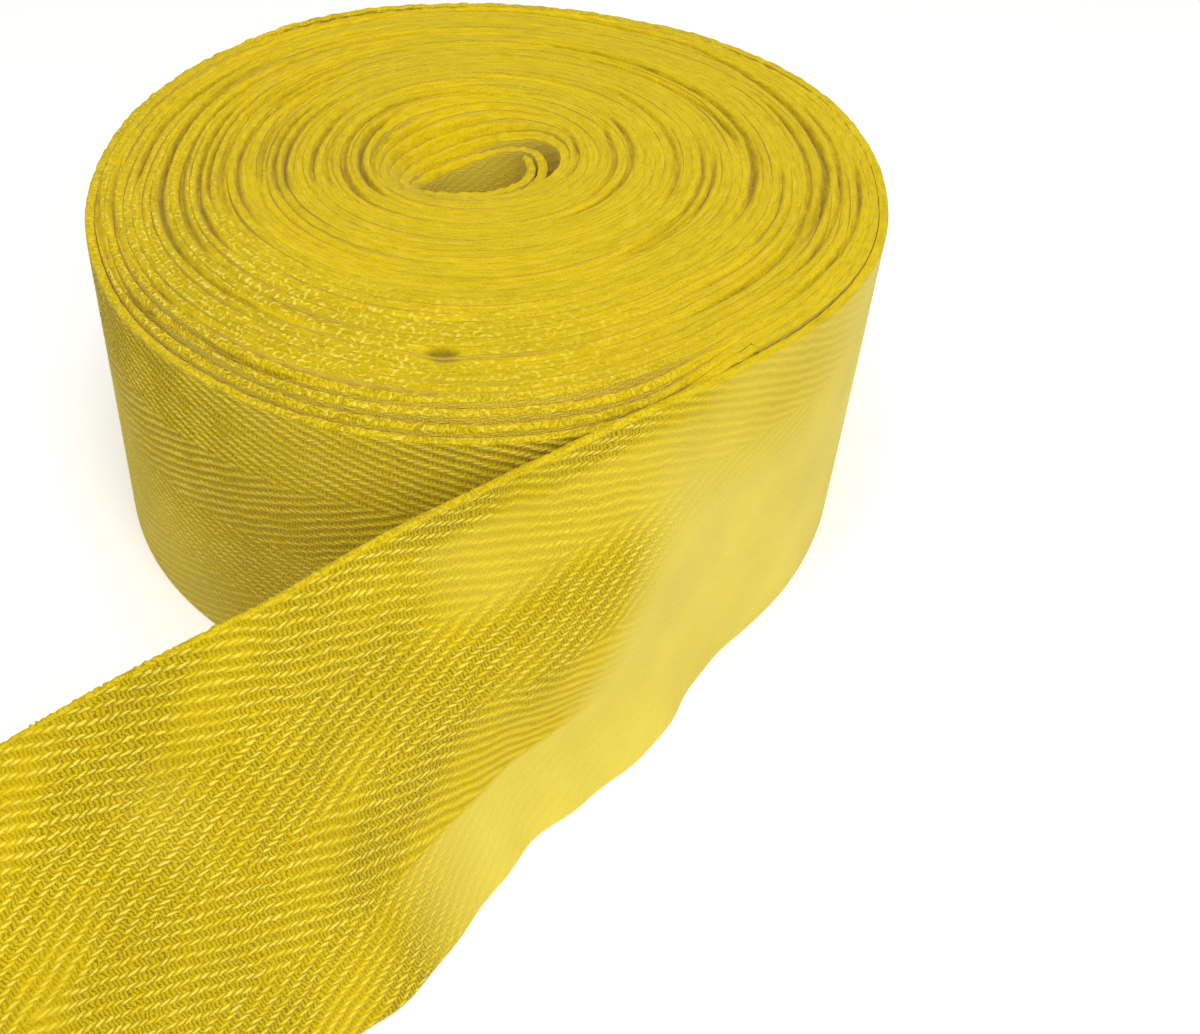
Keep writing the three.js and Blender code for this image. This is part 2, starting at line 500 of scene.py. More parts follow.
def ridge(along, across, tape):
    """Height of the two-and-two twill ridges, 0 to 1, as a raised cosine of the twill's phase.

    The phase is a quarter for each pick plus or minus a quarter for each end. The sign changes from
    one stripe to the next, and each change moves the phase by half, which breaks the ridges there.
    """
    stripe = np.clip(np.floor(across * tape.stripes / tape.width), 0, tape.stripes - 1)
    sign = 1.0 - 2.0 * (stripe % 2)
    phase = 0.25 * (along / tape.pick_spacing + sign * across / end_spacing(tape)) + 0.5 * stripe
    return 0.5 + 0.5 * np.cos(TURN * phase)


def pressed_patch(along, share):
    """1 where the loose end's upper stripe was pressed smooth, 0 elsewhere."""
    return smooth(along, 4 * MM, 14 * MM) * smooth(along, 60 * MM, 42 * MM) * smooth(
        share, 0.64, 0.76) * smooth(share, 0.97, 0.9)


def worn_patch(turned, share):
    """1 low on the roll's left, where the cloth is worn smooth, 0 elsewhere. Turned is in degrees."""
    return smooth(turned, 292, 252) * smooth(turned, 180, 225) * smooth(share, 0.8, 0.5)


def stitches_show(along, across, tape, roll):
    """How plainly single stitches show, 0 to 1.

    They show on the loose end past a line that slants from 14 mm out at the top to 62 mm out at
    the bottom, less where its upper stripe was pressed smooth, and on the roll except on its right,
    less where that is worn.
    """
    share = across / tape.width
    line = (14 + 48 * smooth(share, 0.7, 0.2)) * MM
    loose = smooth(along, line - 12 * MM, line + 14 * MM)
    patchy = 0.8 + 0.4 * waves(along + across, (31 * MM, 19 * MM), seed=32) * np.cos(across / (7 * MM))
    turned = np.degrees(turned_at(np.maximum(-along, 0.0), tape, roll))
    loose = np.clip(loose * (1.0 - 0.8 * pressed_patch(along, share)) * patchy, 0.0, 0.9)
    wound = 0.8 * smooth(turned, 60, 115) * (1.0 - 0.6 * worn_patch(turned, share))
    return 0.1 + loose + wound


def ridges_show(along, across, tape, roll):
    """How plainly the twill ridges show: 0 pressed flat, 1 plain, more where they stand like ropes.

    Pressed flat on the roll's right below its upper stripe, and from there along the loose end's
    lowest stripe, weaker where the roll is worn, and like ropes high on the roll's front left. The
    colour follows: pale where the ridges are weak, partly cloth pressed smooth and partly a painted
    sheen on the lit right side and the loose end, and lifted where they stand like ropes, painted
    light on the face behind the loose end.
    """
    share = across / tape.width
    uneven = waves(along, (63 * MM, 37 * MM), seed=31) * np.cos(across / (11 * MM))
    turned = np.degrees(turned_at(np.maximum(-along, 0.0), tape, roll))
    high = 0.17 + 0.4 * smooth(share, 0.55, 0.85) * smooth(turned, 40, 2)
    plain = 0.6 * smooth(turned, 56, 105) * (1.0 - 0.22 * worn_patch(turned, share))
    wound = high + plain + 0.9 * smooth(turned, 250, 285) * smooth(share, 0.4, 0.75)
    lowest = smooth(share, 0.26, 0.235) * smooth(along, 72 * MM, 48 * MM)
    raised = smooth(along, (34 - 34 * share) * MM, (52 - 38 * share) * MM)
    loose = high + (1.0 - high) * raised * (1.0 - 0.95 * lowest)
    loose = loose * (1.0 - 0.3 * pressed_patch(along, share))
    return np.where(along > 0, loose, wound) * (0.85 + 0.15 * uneven)


# ---------------------------------------------------------------------------------------------
# The outer face of the last turn and the loose end
# ---------------------------------------------------------------------------------------------

def foot_line(along, up, tape, roll):
    """The last turn's and the loose end's outer face in the plane, as if it stood upright.

    Behind the leave line it follows the winding. Past it, it runs along the tangent line, moved out
    by the table's second column, and the roll's lean dies out.
    """
    back = np.maximum(-along, 0.0)
    turned = turned_at(back, tape, roll)
    angle = roll.leave_angle + turned
    radius = winding_radius(turned, tape, roll)
    x, y = winding_place(radius, angle, up, tape, roll)
    past = np.maximum(along, 0.0)
    x = x + past * math.sin(roll.leave_angle) + roll.lean * (1.0 - up) * smooth(past, 0.0, 25 * MM)
    y = y - past * math.cos(roll.leave_angle)
    out = through_rows(END_SECTIONS, 1, along / MM) * MM
    return x + out * np.cos(angle), y + out * np.sin(angle)


def ruffle(along, height, tape):
    """How far the loose end's face waves outward: a slow wave and two short ones.

    They are strongest along the lower edge and die out towards the upper edge as the square of the
    height left, and towards the leave line.
    """
    slow = 1.1 * np.cos(TURN * (along - 20 * MM) / (47 * MM))
    short = 0.25 * waves(along, (16 * MM, 11 * MM), seed=41)
    low = (1.0 - height / tape.width) ** 2
    return (slow + short) * MM * low * smooth(along, -4 * MM, 26 * MM)


def section_curve(along, height, tape):
    """Each section's own curve: how far it has leaned back and how high it has risen at a distance
    up the tape, and its lean there.

    The lean is the table's third column, and swings once to either side across 37 mm of the width.
    Both distances are its sine's and its cosine's running sums. The section stands higher by the
    thickness times the sine of the lean at its foot, which keeps its back above the floor.
    """
    steps = np.linspace(0.0, 1.05 * tape.width, 211)
    step = steps[1]
    lean = through_rows(END_SECTIONS, 2, along[:, :1] / MM)
    swing = through_rows(END_SWING, 1, along[:, :1] / MM)
    lean = np.radians(lean - swing * np.cos(TURN * (steps[None, :] - 18 * MM) / (37 * MM)))
    back, rise = np.sin(lean) * step, np.cos(lean) * step
    back = np.cumsum(back, axis=1) - 0.5 * (back + back[:, :1])
    rise = np.cumsum(rise, axis=1) - 0.5 * (rise + rise[:, :1])
    row = np.clip(np.floor(height / step).astype(int), 0, len(steps) - 2)
    share = height / step - row

    def between(values):
        low = np.take_along_axis(values, row, axis=1)
        return low + share * (np.take_along_axis(values, row + 1, axis=1) - low)

    return between(back), between(rise) + tape.thickness * np.sin(lean[:, :1]), between(lean)


def outer_face(along, height, tape, roll):
    """Outer face of the last turn and the loose end, with its outward normal.

    Each section rises from its foot along its own curve, square to the foot line. The ruffle moves
    it sideways, and slow waves across the face keep it from being flat.
    """
    nudge = 0.5 * MM
    up = np.clip(height / tape.width, 0.0, 1.0)
    x, y = foot_line(along, up, tape, roll)
    ahead_x, ahead_y = foot_line(along + nudge, up, tape, roll)
    behind_x, behind_y = foot_line(along - nudge, up, tape, roll)
    step_x, step_y = ahead_x - behind_x, ahead_y - behind_y
    step = np.hypot(step_x, step_y)
    away_x, away_y = -step_y / step, step_x / step
    back, rise, lean = section_curve(along, height, tape)
    out = ruffle(along, height, tape) - back
    points = np.stack([x + away_x * out, y + away_y * out, rise], axis=-1)
    normals = np.stack([away_x * np.cos(lean), away_y * np.cos(lean), np.sin(lean)], axis=-1)
    bow = waves(along, (71 * MM, 43 * MM), seed=51) * np.sin(math.pi * height / tape.width)
    bow = bow * 0.35 * MM * smooth(-np.abs(along - 40 * MM), -200 * MM, 0.0)
    return points + normals * bow[..., None], normals


# ---------------------------------------------------------------------------------------------
# Meshes
# ---------------------------------------------------------------------------------------------

def tube_mesh(name, points, normals, along, across, finish):
    """Closed mesh from sections, each a closed loop of points, with caps at both ends.

    Point (i, j) of the grid joins (i + 1, j), (i + 1, j + 1) and (i, j + 1), and the last point of
    each loop joins the first. The map of the strip holds millimetres along and across, and the
    finish holds how plainly stitches, ridges and fibre flecks show; the ridges also set a painted
    sheen, and the flecks' value carries painted light and shade.
    """
    sections, loop = points.shape[:2]
    i, j = np.meshgrid(np.arange(sections - 1), np.arange(loop), indexing="ij")
    after = (j + 1) % loop
    quads = np.stack([
        i * loop + j, (i + 1) * loop + j, (i + 1) * loop + after, i * loop + after,
    ], axis=-1).reshape(-1, 4)
    u = np.stack([along[i], along[i + 1], along[i + 1], along[i]], axis=-1)
    v = np.stack([across[j], across[j], across[j + 1], across[j + 1]], axis=-1)
    flat_points = points.reshape(-1, 3)
    corners = flat_points[quads[:, :3]]
    cross = np.cross(corners[:, 1] - corners[:, 0], corners[:, 2] - corners[:, 0])
    wanted = normals.reshape(-1, 3)[quads[:, 0]]
    if np.sum(cross * wanted) < 0:
        quads = quads[:, ::-1]
        u, v = u[..., ::-1], v[..., ::-1]
        first_cap, last_cap = np.arange(loop), np.arange(loop)[::-1]
    else:
        first_cap, last_cap = np.arange(loop)[::-1], np.arange(loop)
    loops = np.concatenate([quads.ravel(), first_cap, last_cap + (sections - 1) * loop])
    sizes = np.concatenate([np.full(len(quads), 4), [loop, loop]])
    starts = np.concatenate([[0], np.cumsum(sizes)[:-1]])
    strip_map = np.stack([
        np.concatenate([u.ravel(), np.full(loop, along[0]), np.full(loop, along[-1])]),
        np.concatenate([v.ravel(), across[first_cap], across[last_cap]]),
    ], axis=-1)
    mesh = bpy.data.meshes.new(name)
    mesh.vertices.add(len(flat_points))
    mesh.vertices.foreach_set("co", flat_points.astype(np.float32).ravel())
    mesh.loops.add(len(loops))
    mesh.loops.foreach_set("vertex_index", loops.astype(np.int32))
    mesh.polygons.add(len(sizes))
    mesh.polygons.foreach_set("loop_start", starts.astype(np.int32))
    mesh.update(calc_edges=True)
    layer = mesh.uv_layers.new(name="Strip")
    layer.data.foreach_set("uv", (strip_map / MM).astype(np.float32).ravel())
    shown = mesh.attributes.new("Finish", "FLOAT_VECTOR", "POINT")
    shown.data.foreach_set("vector", finish.reshape(-1, 3).astype(np.float32).ravel())
    mesh.polygons.foreach_set("use_smooth", np.ones(len(sizes), dtype=bool))
    mesh.normals_split_custom_set(normals.reshape(-1, 3)[loops].astype(np.float32).tolist())
    mesh.validate()
    return mesh


def grid_normals(points):
    """Unit normals of a grid whose second direction is a closed loop, pointing out of the strip:
    the cross product of the central differences along both directions."""
    along = np.gradient(points, axis=0)
    around = np.roll(points, -1, axis=1) - np.roll(points, 1, axis=1)
    normals = np.cross(along, around)
    normals = normals / np.linalg.norm(normals, axis=-1, keepdims=True)
    middle = points.mean(axis=1, keepdims=True)
    return normals if np.sum((points - middle) * normals) > 0 else -normals


def cut_end(distance, end, rounding):
    """Share of its thickness that a strip keeps near its cut end, as a quarter of a circle."""
    return np.sqrt(np.clip(1.0 - np.clip((distance - end) / rounding + 1.0, 0.0, 0.999) ** 2, 0.0, 1.0))


def to_cut_end(start, end, step, rounding):
    """Distances from the start to a cut end: even steps, then six that gather at the end."""
    even = np.linspace(start, end - rounding, round((end - rounding - start) / step))
    gathered = end - rounding + rounding * np.sin(np.linspace(0.0, 0.5 * math.pi, 7)[1:])
    return np.concatenate([even, gathered])


def strip_section(tape, face_rows, back_rows, edge_rows):
    """The strip's section as a loop: up the outer face, over the upper edge, down the back and
    round the lower edge.

    Each edge is half an ellipse as thick as the tape. Returned for each point: its height between
    the edges, its depth behind the outer face, its share of the way out over the upper edge (or,
    negative, the lower one), and its distance across the strip, which runs on over the edges.
    """
    width, thickness = tape.width, tape.thickness
    round_over = np.linspace(0.0, 1.0, edge_rows + 2)[1:-1]
    up = np.linspace(0.0, 1.0, face_rows)
    down = np.linspace(1.0, 0.0, back_rows)
    height = np.concatenate([up, np.ones(edge_rows), down, np.zeros(edge_rows)])
    depth = np.concatenate([
        np.zeros(face_rows), 0.5 - 0.5 * np.cos(math.pi * round_over),
        np.ones(back_rows), 0.5 + 0.5 * np.cos(math.pi * round_over),
    ])
    bulge = np.concatenate([
        np.zeros(face_rows), np.sin(math.pi * round_over),
        np.zeros(back_rows), -np.sin(math.pi * round_over),
    ])
    across = np.concatenate([
        up * width, width + round_over * thickness,
        width + thickness + (1.0 - down) * width, 2 * width + thickness + round_over * thickness,
        [2 * width + 2 * thickness],
    ])
    return height, depth * thickness, bulge, across


def last_turn_points(along, section, kept, tape, roll):
    """Points of the last turn or the loose end on the grid of distances along and section points,
    and how plainly its stitches and ridges show.

    The section's outer side lies on the outer face, raised by the twill ridges, and its back lies
    one thickness behind it, or the kept share of it at a cut end. On the roll the upper edge
    follows the winding's upper edge, and flattens into that of the turns inside. The edges'
    crosswise loops stand out about once a pick, most on the loose end. High on the face behind the
    loose end the colour is lifted: painted light where the loose end shades that face. Towards the
    next turn the upper edge takes on the inner turns' finish.
    """
    height, depth, bulge, across = section
    across = across[:-1]
    back = np.maximum(-along, 0.0)
    turned = turned_at(back, tape, roll)
    top = np.where(along < 0.0, upper_edge(turned, back, tape, roll), tape.width)
    uneven = waves(along, (2.3 * MM, 3.7 * MM, 5.9 * MM), seed=61)
    looped = (0.02 + 0.15 * smooth(along, -6 * MM, 6 * MM)) * (0.5 + 0.5 * uneven)
    slipped = 2.0 * waves(along, (7 * MM, 5 * MM), seed=62)
    loops = looped * np.cos(TURN * along / tape.pick_spacing + slipped)
    loops = (loops + 0.05 * uneven * smooth(turned, 0.0, 0.3)) * smooth(turned, TURN, TURN - 0.3)
    joined = smooth(turned, 4.6, 6.1)
    flat = 0.3 * joined + 0.3 * smooth(along, 6 * MM, -6 * MM) * smooth(turned, 3.4, 2.2)
    # in millimetres: the faces run from 0.15 above the floor to 0.4 below the top, and the edge's
    # round takes up 0.36 of that, both less where the edge is flat
    edge = (0.36 - flat + 0.04 * joined + loops)[:, None] * MM
    spread = 0.15 * MM + height[None, :] * (top - (0.55 - flat) * MM)[:, None]
    lift = spread + edge * np.where(bulge > 0, bulge, 0.3 * bulge)[None, :]
    grid_along = np.broadcast_to(along[:, None], lift.shape)
    points, normals = outer_face(grid_along, lift, tape, roll)
    folded = np.minimum(across, 2 * tape.width + tape.thickness - across)
    face = np.broadcast_to(folded[None, :], lift.shape)
    front = across <= tape.width
    on_face = (np.abs(bulge) < 1e-6) * np.where(front, 1.0, -1.0)
    shown = ridges_show(grid_along, face, tape, roll)
    relief = ridge(grid_along, face, tape)
    relief = np.where(front[None, :], relief, 1.0 - relief) - 0.5
    fade = smooth(face, 0.0, 0.8 * MM) * smooth(face, tape.width, tape.width - 0.8 * MM)
    middle = 0.5 * tape.thickness
    offset = relief * tape.ridge_height * shown * on_face[None, :] * fade * kept[:, None]
    offset = offset - middle - (depth - middle)[None, :] * kept[:, None]
    inward = smooth(turned, 5.2, 6.1)[:, None] * (bulge > 0)[None, :]
    # painted light: lifts the colour high on the face behind the loose end, where the loose end shades
    # it
    rubbed_and_painted_light = 0.7 * smooth(np.degrees(turned), 272, 302)[:, None] * smooth(face, 28 * MM, 46 * MM)
    stitches = stitches_show(grid_along, face, tape, roll)
    stitches = stitches + (turn_stitches(turned, tape, roll)[:, None] - stitches) * inward
    finish = np.stack([stitches, shown, rubbed_and_painted_light * (1.0 - inward)], axis=-1)
    return points + normals * offset[..., None], finish


def turn_section(tape):
    """Section of an inner turn: like the strip's, with its points gathered at the upper corners.

    The edge's bulge is 1 less the cube of the distance from its middle, flat with round corners.
    """
    width, thickness = tape.width, tape.thickness
    drop = np.array([1.0, 0.1, 0.008, 0.0])
    round_over = np.array([0.02, 0.1, 0.28, 0.5, 0.72, 0.9, 0.98])
    below = np.concatenate([drop, np.zeros(7), drop[::-1], [1.0]])
    depth = np.concatenate([np.zeros(4), round_over, np.ones(4), [0.5]])
    bulge = np.concatenate([np.zeros(4), 1.0 - np.abs(2.0 * round_over - 1.0) ** 3, np.zeros(5)])
    across = np.concatenate([
        (1.0 - drop) * width, width + round_over * thickness,
        width + thickness + drop[::-1] * width, [2 * width + 1.5 * thickness, 2 * (width + thickness)],
    ])
    return below, depth, bulge, across


def turn_points(distance, section, kept, tape, roll):
    """Points of the inner turns on the grid of distances back from the leave line and section
    points, and how plainly their specks show.

    Each turn fills its pitch, or the kept share of it at the inner end, where it also springs into
    the hole. Its top is the upper edge less the roundness of the edge and the furrows, and at the
    back left of the hole it slopes down to meet the next turn's, which makes a smooth funnel.
    Specks show on the front left, and less than none of them in the furrows and the dimple, which
    makes those darker: painted shade in the hollows. On the faces the speck value is full and the
    ridge value middling, which lifts their colour and pales it by half: painted light on faces that
    lie in shade inside the hole and where the turns step down.
    """
    below, depth, bulge, _ = section
    turned = turned_at(distance, tape, roll)
    top = upper_edge(turned, distance, tape, roll)
    rounding = edge_roundness(turned, distance, tape, roll)
    angle = (roll.leave_angle + turned)[:, None]
    filled = pitch(tape, roll)
    depth = 0.5 * filled + (depth[None, :] - 0.5) * filled * kept[:, None]
    radius = winding_radius(turned, tape, roll)[:, None] - depth
    up = np.broadcast_to(1.0 - below[None, :], radius.shape)
    x, y = winding_place(radius, angle, up, tape, roll)
    freed = sprung(turned, roll)[:, None]
    next_top = upper_edge(turned + TURN, distance + TURN * radius[:, 0], tape, roll)
    funnel = smooth(radius[:, 0], 21 * MM, 15 * MM) * facing(angle[:, 0], BACK_LEFT)
    fall = ((next_top - top) * 0.9 * funnel)[:, None] * depth / filled
    z = (top[:, None] + fall * (below < 0.5)) * up
    furrowed = furrows(radius, angle)
    z = z - (rounding[:, None] * (1.0 - bulge[None, :]) + furrowed) * (below < 0.5)
    roped = np.broadcast_to(ropes(turned, tape, roll)[:, None], z.shape)
    specks_and_painted_light = facing(angle, FRONT_LEFT) ** 5 * smooth(radius, 32 * MM, 42 * MM)
    specks_and_painted_light = np.maximum(specks_and_painted_light - 1.5 * furrowed / MM, 0.0)
    # painted shade: below none in the furrows and the dimple, which darkens the colour there
    specks_and_painted_light = specks_and_painted_light - 0.6 * furrowed / MM - 0.9 * dimple(radius, angle)
    # painted light: on the faces below the top the speck value is full and the ridge value middling,
    # which lifts and pales the colour of faces in shade
    ridges = np.where(below > 0.0, 0.36, 0.5 * roped)
    specks_and_painted_light = np.where(below > 0.0, 1.0, specks_and_painted_light)
    stitches = np.broadcast_to(turn_stitches(turned, tape, roll)[:, None], z.shape)
    finish = np.stack([stitches, ridges, specks_and_painted_light], axis=-1)
    return np.stack([x - freed * np.cos(angle), y - freed * np.sin(angle), z], axis=-1), finish


def add_object(context, name, data):
    """Links a new object to the scene."""
    added = bpy.data.objects.new(name, data)
    context.collection.objects.link(added)
    return added


def add_piece(context, mesh, material, nodes):
    """Links a finished piece under its mesh's name, lets it ride on the root body and stand for its
    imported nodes."""
    piece = add_object(context, mesh.name, mesh)
    mesh.materials.append(material)
    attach(piece, "root")
    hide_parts(*nodes)
    return piece


# ---------------------------------------------------------------------------------------------
# Material
# ---------------------------------------------------------------------------------------------

def add_node(tree, kind, inputs=None, **settings):
    """Adds a node, sets its settings, and links its inputs or sets their values."""
    node = tree.nodes.new(kind)
    for key, value in settings.items():
        setattr(node, key, value)
    for socket, value in (inputs or {}).items():
        if isinstance(value, bpy.types.NodeSocket):
            tree.links.new(value, node.inputs[socket])
        else:
            node.inputs[socket].default_value = value
    return node


def work_out(tree, values, steps):
    """Adds one Math node for each step (name, operation, inputs...) and keeps its result by name."""
    for name, operation, *inputs in steps:
        sockets = {place: values.get(item, item) if isinstance(item, str) else item
                   for place, item in enumerate(inputs)}
        node = add_node(tree, "ShaderNodeMath", sockets, operation=operation)
        values[name] = node.outputs[0]
    return values


def half_round(float_name):
    """Steps for a float's rounded top: the root of 1 less the squares of the distances from its
    middle, across (wide) and lengthwise (long), and 0 outside it."""
    wide, long = float_name + "_wide", float_name + "_long"
    return (
        (wide + "_2", "MULTIPLY", wide, wide),
        (long + "_2", "MULTIPLY", long, long),
        (float_name + "_sum", "ADD", wide + "_2", long + "_2"),
        (float_name + "_room", "SUBTRACT", 1.0, float_name + "_sum"),
        (float_name + "_over", "MAXIMUM", float_name + "_room", 0.0),
        (float_name + "_round", "SQRT", float_name + "_over"),
    )


def woven_cotton(tape, finish):
    """Dyed cotton yarn woven as a two-and-two herringbone twill.

    It gives the eye lengthwise floats stacked into ridges like stitches, finer doubled crosswise
    floats in the furrows between them, a looped selvedge, and along the wound turns' edges the
    streaks and flecks of fibres roughened by rubbing. Its colours also paint shade between the
    yarns and highlight on their crests, a pale sheen where the ridges are weak, shade in the
    furrows and the dimple, and light on faces that lie in shade.
    """
    material = bpy.data.materials.new(COTTON)
    material.use_nodes = True
    tree = material.node_tree
    tree.nodes.clear()
    output = add_node(tree, "ShaderNodeOutputMaterial")
    strip = add_node(tree, "ShaderNodeUVMap", uv_map="Strip").outputs["UV"]
    parts = add_node(tree, "ShaderNodeSeparateXYZ", {"Vector": strip})
    shown = add_node(tree, "ShaderNodeSeparateXYZ", {
        "Vector": add_node(tree, "ShaderNodeAttribute", attribute_name="Finish").outputs["Vector"],
    })
    width, thickness = tape.width / MM, tape.thickness / MM
    pick, end = tape.pick_spacing / MM, end_spacing(tape) / MM
    # the scales are per millimetre of cloth: yarns wander over 4 mm, fibres lie 0.3 mm apart, the
    # dye varies over 14 mm, specks lie 0.7 mm apart, and streaks are 3 mm long and 0.4 mm wide
    drawn = add_node(tree, "ShaderNodeVectorMath", {
        0: strip, 1: (0.32, 2.4, 1.0),
    }, operation="MULTIPLY").outputs["Vector"]
    noises = {
        name: add_node(tree, "ShaderNodeTexNoise", {"Vector": place, "Scale": scale, "Detail": detail})
        for name, place, scale, detail in (
            ("wander", strip, 0.26, 2.0), ("fibre", strip, 3.2, 2.0), ("patch", strip, 0.07, 3.0),
            ("speck", strip, 1.5, 0.0), ("streak", drawn, 1.0, 3.0),
        )
    }
    pushed = add_node(tree, "ShaderNodeSeparateXYZ", {"Vector": noises["wander"].outputs["Color"]})
    values = {name: noise.outputs["Fac"] for name, noise in noises.items()}
    values.update({
        "along": parts.outputs["X"], "over": parts.outputs["Y"],
        "push_along": pushed.outputs["X"], "push_across": pushed.outputs["Y"],
        "stitches": shown.outputs["X"], "ridges": shown.outputs["Y"], "specks_and_painted_light": shown.outputs["Z"],
    })
    work_out(tree, values, (
        # place on the face, folded over at the selvedge, with the yarns pushed a little about
        ("across", "PINGPONG", "over", width + thickness / 2),
        ("fuzz_along", "MULTIPLY_ADD", "fibre", 0.7, -1.35),
        ("aside", "MULTIPLY_ADD", "push_along", 2.0, "fuzz_along"),
        ("picks", "MULTIPLY_ADD", "along", 1 / pick, "aside"),
        ("fuzz_across", "MULTIPLY_ADD", "fibre", 0.7, -1.85),
        ("apart", "MULTIPLY_ADD", "push_across", 3.0, "fuzz_across"),
        ("ends", "MULTIPLY_ADD", "across", 1 / end, "apart"),
        ("stripe_raw", "MULTIPLY", "across", tape.stripes / width),
        ("stripe_floor", "FLOOR", "stripe_raw"),
        ("stripe", "MINIMUM", "stripe_floor", tape.stripes - 1),
        ("odd", "MODULO", "stripe", 2.0),
        ("sign", "MULTIPLY_ADD", "odd", -2.0, 1.0),
        ("break", "MULTIPLY", "stripe", 0.5),
        # ridges: whole and fractional number of the ridge, and cosine across it
        ("ridge_step", "MULTIPLY_ADD", "sign", "ends", "picks"),
        ("ridge_phase", "MULTIPLY_ADD", "ridge_step", 0.25, "break"),
        ("ridge_angle", "MULTIPLY", "ridge_phase", TURN),
        ("ridge", "COSINE", "ridge_angle"),
        ("ridge_next", "ADD", "ridge_phase", 0.5),
        ("ridge_number", "FLOOR", "ridge_next"),
        ("ridge_share", "FRACT", "ridge_next"),
        ("ridge_off", "SUBTRACT", "ridge_share", 0.5),
        # lengthwise floats: one stitch to each pick along a ridge, slanting across it
        ("slant", "MULTIPLY_ADD", "ridge_off", -2.5, "picks"),
        ("stitch", "FLOOR", "slant"),
        ("stitch_share", "FRACT", "slant"),
        ("warp_wide", "MULTIPLY_ADD", "stitch_share", 2.6, -1.3),
        ("warp_long", "MULTIPLY", "ridge_off", 1 / 0.27),
        *half_round("warp"),
    ))
    chance = add_node(tree, "ShaderNodeTexWhiteNoise", {
        "Vector": add_node(tree, "ShaderNodeCombineXYZ", {
            "X": values["ridge_number"], "Y": values["stitch"], "Z": 0.5,
        }).outputs["Vector"],
    })
    values["chance"] = chance.outputs["Value"]
    work_out(tree, values, (
        ("warp_lift", "MULTIPLY_ADD", "chance", 0.75, 0.38),
        ("warp", "MULTIPLY", "warp_round", "warp_lift"),
        # crosswise floats in the furrows: two thin yarns to each pick
        ("furrow_share", "FRACT", "ridge_phase"),
        ("weft_long", "MULTIPLY_ADD", "furrow_share", 1 / 0.34, -0.5 / 0.34),
        ("pick_share", "FRACT", "picks"),
        ("pick_off", "SUBTRACT", "pick_share", 0.5),
        ("pick_side", "ABSOLUTE", "pick_off"),
        ("weft_wide", "MULTIPLY_ADD", "pick_side", 4.2, -1.0),
        *half_round("weft"),
        ("weft", "MULTIPLY", "weft_round", 0.42),
        ("thread", "MAXIMUM", "warp", "weft"),
        ("ridge_part", "MULTIPLY", "ridge", "ridges"),
        ("thread_off", "SUBTRACT", "thread", 0.36),
        # painted light: the colour rises with how plainly the ridges show, which lifts the ropes on the
        # face behind the loose end
        ("level", "MULTIPLY_ADD", "ridges", 0.14, 0.36),
        # painted light and shade: besides the fibre specks, the third finish value lifts the colour on
        # the inner turns' faces and behind the loose end, and lowers it in the furrows and the dimple
        ("rubbed_and_painted_light_level", "MULTIPLY_ADD", "specks_and_painted_light", 0.3, "level"),
        ("thread_part", "MULTIPLY_ADD", "thread_off", "stitches", "rubbed_and_painted_light_level"),
        ("cloth", "MULTIPLY_ADD", "ridge_part", 0.18, "thread_part"),
        # selvedge: the crosswise yarns' loops, or streaks and specks on the wound turns
        ("loop_push", "MULTIPLY_ADD", "speck", 3.0, "picks"),
        ("loop_step", "MULTIPLY_ADD", "across", 0.7, "loop_push"),
        ("loop_angle", "MULTIPLY", "loop_step", TURN),
        ("loop", "COSINE", "loop_angle"),
        ("loop_part", "MULTIPLY", "loop", "stitches"),
        # painted shade: the negative third finish value, from the furrows and the dimple, darkens the
        # edges there
        ("painted_hollow_shade", "MINIMUM", "specks_and_painted_light", 0.0),
        ("streak_off", "MULTIPLY_ADD", "streak", 0.6, 0.2),
        ("streak_part", "MULTIPLY_ADD", "painted_hollow_shade", 0.55, "streak_off"),
        ("speck_share", "MAXIMUM", "specks_and_painted_light", 0.0),
        ("speck_off", "MULTIPLY_ADD", "speck", 3.4, -1.9),
        ("speck_up", "MAXIMUM", "speck_off", -0.12),
        ("rubbed_and_painted_light", "MULTIPLY_ADD", "speck_up", "speck_share", "streak_part"),
        ("selvedge", "MULTIPLY_ADD", "loop_part", 0.17, "rubbed_and_painted_light"),
        ("near_edge", "MULTIPLY_ADD", "across", 3.0, -3.0 * (width - 0.3)),
        ("edge_above", "MAXIMUM", "near_edge", 0.0),
        ("edge", "MINIMUM", "edge_above", 1.0),
        ("edge_off", "SUBTRACT", "selvedge", "cloth"),
        # painted sheen together with pressed cloth: where the ridges are weak the colour turns pale
        ("pressed_and_painted_sheen_raw", "MULTIPLY_ADD", "ridges", -1.45, 1.02),
        ("pressed_and_painted_sheen_kept", "MAXIMUM", "pressed_and_painted_sheen_raw", 0.0),
        ("off_edge", "SUBTRACT", 1.0, "edge"),
        ("pressed", "MULTIPLY", "pressed_and_painted_sheen_kept", "off_edge"),
        ("joined", "MULTIPLY_ADD", "edge_off", "edge", "cloth"),
        ("fibre_off", "MULTIPLY_ADD", "fibre", 0.4, -0.2),
        ("height", "ADD", "joined", "fibre_off"),
        ("shade", "MULTIPLY_ADD", "patch", 0.34, 0.83),
    ))
    # painted shade and highlight: the ramp darkens the cloth between the yarns and lightens it on their
    # crests, over the yarn's own dye
    ramp = add_node(tree, "ShaderNodeValToRGB", {"Fac": values["height"]})
    stops = ramp.color_ramp.elements
    stops[0].position, stops[0].color = 0.02, finish.gap
    stops[1].position, stops[1].color = 0.95, finish.crest
    middle = stops.new(0.5)
    middle.color = finish.yarn
